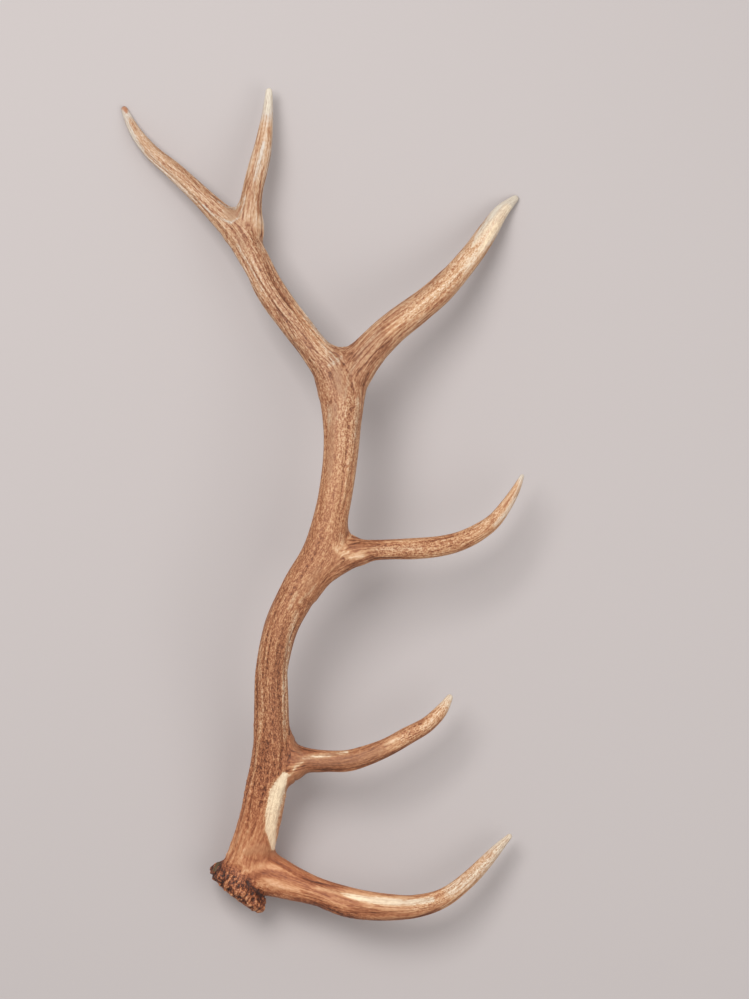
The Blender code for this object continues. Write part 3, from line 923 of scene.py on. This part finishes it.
class Finish:
    """A material, and the ways to add nodes to it."""

    def __init__(self, name):
        self.material = bpy.data.materials.new(name)
        self.material.use_nodes = True
        self.tree = self.material.node_tree
        self.shader = self.tree.nodes["Principled BSDF"]

    def node(self, kind, settings, inputs, output=0):
        """Adds a node: its settings first, then a value or a link for each socket."""
        made = self.tree.nodes.new(kind)
        for name, setting in settings.items():
            if name == "stops":
                self.set_stops(made.color_ramp, setting)
            else:
                setattr(made, name, setting)
        for socket, value in inputs.items():
            self.feed(made.inputs[socket], value)
        return Value(self, made.outputs[output])

    def feed(self, socket, value):
        """Links a value to a socket, or sets the socket to a plain number."""
        if isinstance(value, Value):
            self.tree.links.new(value.socket, socket)
        else:
            socket.default_value = value

    def set_stops(self, ramp, stops):
        """Places a ramp's colours."""
        while len(ramp.elements) < len(stops):
            ramp.elements.new(0.5)
        for element, (place, code) in zip(ramp.elements, stops):
            element.position = place
            element.color = colour(code)

    def math(self, operation, first, second):
        """One Math node."""
        return self.node("ShaderNodeMath", {"operation": operation}, {0: first, 1: second})

    def magnitude(self, value):
        """A value without its sign."""
        return self.math("ABSOLUTE", value, 0.0)

    def attribute(self, name, output="Fac"):
        """What the mesh keeps under a name."""
        return self.node("ShaderNodeAttribute", {"attribute_name": name}, {}, output)

    def ramp(self, stops, place):
        """The colour at a place on a scale of colours."""
        return self.node("ShaderNodeValToRGB", {"stops": stops}, {0: place})

    def noise(self, places, size, detail):
        """Random waves of a size, from about -1 to 1."""
        scale = tuple(1 / side for side in size)
        scaled = self.node("ShaderNodeVectorMath", {"operation": "MULTIPLY"}, {0: places, 1: scale})
        waves = self.node("ShaderNodeTexNoise", {}, {"Vector": scaled, "Scale": 1.0, "Detail": detail})
        return (waves - 0.5) * 4.0

    def step(self, value, start, end):
        """0 below start, 1 above end, with a soft rise between them."""
        settings = {"interpolation_type": "SMOOTHSTEP"}
        inputs = {"Value": value, "From Min": start, "From Max": end}
        return self.node("ShaderNodeMapRange", settings, inputs)

    def clamp(self, value, low, high):
        """A value kept between two numbers."""
        return self.node("ShaderNodeClamp", {}, {"Value": value, "Min": low, "Max": high})

    def mix(self, share, first, second, blend="MIX"):
        """One colour over another, or multiplied by it. The sockets for colours are
        inputs 6 and 7, and output 2."""
        settings = {"data_type": "RGBA", "blend_type": blend}
        return self.node("ShaderNodeMix", settings, {0: share, 6: first, 7: second}, 2)


def grain_marks(finish, grain):
    """The marks that follow one grain, in the order of GRAIN_MARKS."""
    return [
        finish.noise(grain, wave_size(along, across), detail)
        for along, across, detail in GRAIN_MARKS
    ]


def marks_of_skin(finish):
    """The marks in the beam's grain, which give way to those in a tine's grain."""
    on_beam = grain_marks(finish, finish.attribute("beam_grain", "Vector"))
    on_tine = grain_marks(finish, finish.attribute("tine_grain", "Vector"))
    share = finish.attribute("tine_share")
    return [first + (second - first) * share for first, second in zip(on_beam, on_tine)]


def aged_colour(finish, base):
    """A colour with moss, the tint of its place on the antler, and rust over it."""
    base = finish.mix(finish.step(finish.attribute("moss"), 0.4, 0.9), base, colour(MOSS_GREEN))
    base = finish.mix(1.0, base, finish.ramp(TINTS, finish.attribute("warmth")), "MULTIPLY")
    return finish.mix(finish.attribute("rust") * 0.75, base, colour(RUST_BROWN))


def weathered_antler():
    """Brown stained bone with worn ridges and ivory tips, with painted shade in its grooves and painted
    highlights on its ridges and beads.
    """
    finish = Finish("weathered_antler")
    bands, streaks, flecks, cracks, dashes, specks = marks_of_skin(finish)
    plain = finish.attribute("smooth")
    ivory = finish.attribute("ivory")
    speckled = finish.attribute("speckled")
    lined = finish.attribute("lined")
    relief = finish.attribute("raised")

    # The pattern of the skin, darker where it is less than 0.
    cracked = (1 - finish.step(finish.magnitude(cracks), 0.03, 0.25)) * lined
    fine = finish.clamp(dashes + specks * speckled, -1.1, 1.1)
    marks = fine * (0.05 + speckled * 0.07) + flecks * (0.03 + speckled * 0.06)
    marks = marks + streaks * (0.01 + lined * 0.09) - cracked * 0.2

    # The brown skin: its place on the scale from dark to light, greyer where it is smooth.
    tone = 0.52 + finish.attribute("lightness") + bands * 0.045 + marks * (1 - plain * 0.7)
    # Painted shade where the skin lies low and painted highlights where it stands high, weaker where it is
    # smooth.
    tone = tone + finish.clamp(relief, -1.2, 1.2) * (0.24 - plain * 0.1)
    # Worn ivory lightens; stains and painted shade darken.
    tone = tone + ivory * 0.26 - finish.attribute("stain") * 0.13
    base = finish.mix(plain * 0.4, finish.ramp(BROWNS, tone), colour(GREY_BROWN))

    # Bare bone, where the skin is worn off, with a scale of its own.
    # Bare bone gets painted shade where it lies low and painted highlights where it stands high.
    shade = 0.3 + ivory * 0.35 + marks + streaks * 0.2 + flecks * 0.1 + bands * 0.08 + relief * 0.2
    bare = finish.step(ivory + marks * 0.9 + streaks * 0.16, 0.7, 1.1)
    base = finish.mix(bare, base, finish.ramp(IVORIES, shade))
    finish.feed(finish.shader.inputs["Base Color"], aged_colour(finish, base))

    # Bare bone is a little glossier. Streaks and fine marks stand out, and cracks are sunk.
    finish.feed(finish.shader.inputs["Roughness"], 0.62 - bare * 0.14 + fine * 0.04)
    height = streaks * 0.3 + fine * 0.5 - cracked * 0.4
    bump = finish.node("ShaderNodeBump", {}, {"Strength": 0.6, "Distance": 0.5 * MM, "Height": height})
    finish.feed(finish.shader.inputs["Normal"], bump)
    return finish.material


def add_object(name, data):
    """Puts a mesh, a light or a camera in the scene as an object of its own."""
    thing = bpy.data.objects.new(name, data)
    bpy.context.scene.collection.objects.link(thing)
    return thing


def make_antler():
    """The whole antler, as one skin."""
    beam = Branch(BEAM, 25 * MM, 30 * MM, has_burr=True)
    tines = [
        Branch(BROW_TINE, 18 * MM, 75 * MM, web=24 * MM, root=(18 * MM, 40 * MM)),
        Branch(BEZ_TINE, 13 * MM, 40 * MM, web=16 * MM, root=(5 * MM, 25 * MM)),
        Branch(TREZ_TINE, 13 * MM, 16 * MM, web=27 * MM, root=(20 * MM, 60 * MM)),
        Branch(ROYAL_TINE, 20 * MM, 75 * MM, web=26 * MM, root=(30 * MM, 60 * MM)),
        Branch(CROWN_TINE, 13 * MM, 60 * MM, web=20 * MM, root=(20 * MM, 42 * MM)),
    ]
    pieces = [swept_branch(branch) for branch in [beam] + tines]
    antler = add_object("antler", joined_mesh(pieces + [burr_beads(beam)]))
    fuse = antler.modifiers.new("fuse", "REMESH")
    fuse.mode = "VOXEL"
    fuse.voxel_size = FUSING_CELL
    apply_modifiers(antler)
    round_forks(antler.data, beam, tines)
    groove_skin(antler.data, beam, tines)
    points = relaxed(antler.data, np.full(len(antler.data.vertices), 0.6), 1)
    points[:, 2] = np.maximum(points[:, 2], cad_low[2])
    write_points(antler.data, points)
    thin_out = antler.modifiers.new("thin_out", "DECIMATE")
    thin_out.ratio = min(1.0, SKIN_TRIANGLES / (2 * len(antler.data.polygons)))
    apply_modifiers(antler)
    mark_skin(antler.data, beam, tines)
    antler.data.shade_smooth()
    antler.data.materials.append(weathered_antler())
    return antler


def plain_finish(name, code, roughness):
    """A plain material of one colour."""
    finish = Finish(name)
    finish.feed(finish.shader.inputs["Base Color"], colour(code))
    finish.feed(finish.shader.inputs["Roughness"], roughness)
    return finish.material


def add_light(name, place, size, power):
    """A soft square light that points at the middle of the floor."""
    light = add_object(name, bpy.data.lights.new(name, "AREA"))
    light.location = place
    light.rotation_euler = (-Vector(place)).to_track_quat("-Z", "Y").to_euler()
    light.data.size = size
    light.data.energy = power


def make_studio():
    """The floor, the lights and the camera."""
    bm = bmesh.new()
    bmesh.ops.create_grid(bm, x_segments=1, y_segments=1, size=FLOOR_REACH)
    floor_mesh = bpy.data.meshes.new("floor")
    bm.to_mesh(floor_mesh)
    bm.free()
    floor_mesh.materials.append(plain_finish("pale_floor", FLOOR_GREY, FLOOR_ROUGHNESS))
    floor = add_object("floor", floor_mesh)
    floor.location.z = cad_low[2]

    for light in LIGHTS:
        add_light(*light)
    world = bpy.data.worlds.new("studio")
    world.use_nodes = True
    background = world.node_tree.nodes["Background"]
    background.inputs["Color"].default_value = WHITE
    background.inputs["Strength"].default_value = SURROUNDINGS
    bpy.context.scene.world = world
    bpy.context.scene.view_settings.view_transform = "Standard"

    camera = add_object("camera", bpy.data.cameras.new("camera"))
    camera.location = CAMERA_PLACE
    camera.data.sensor_width = SENSOR_SIZE
    camera.data.lens = CAMERA_LENS
    bpy.context.scene.camera = camera


antler = make_antler()
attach(antler, "root")
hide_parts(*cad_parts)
make_studio()
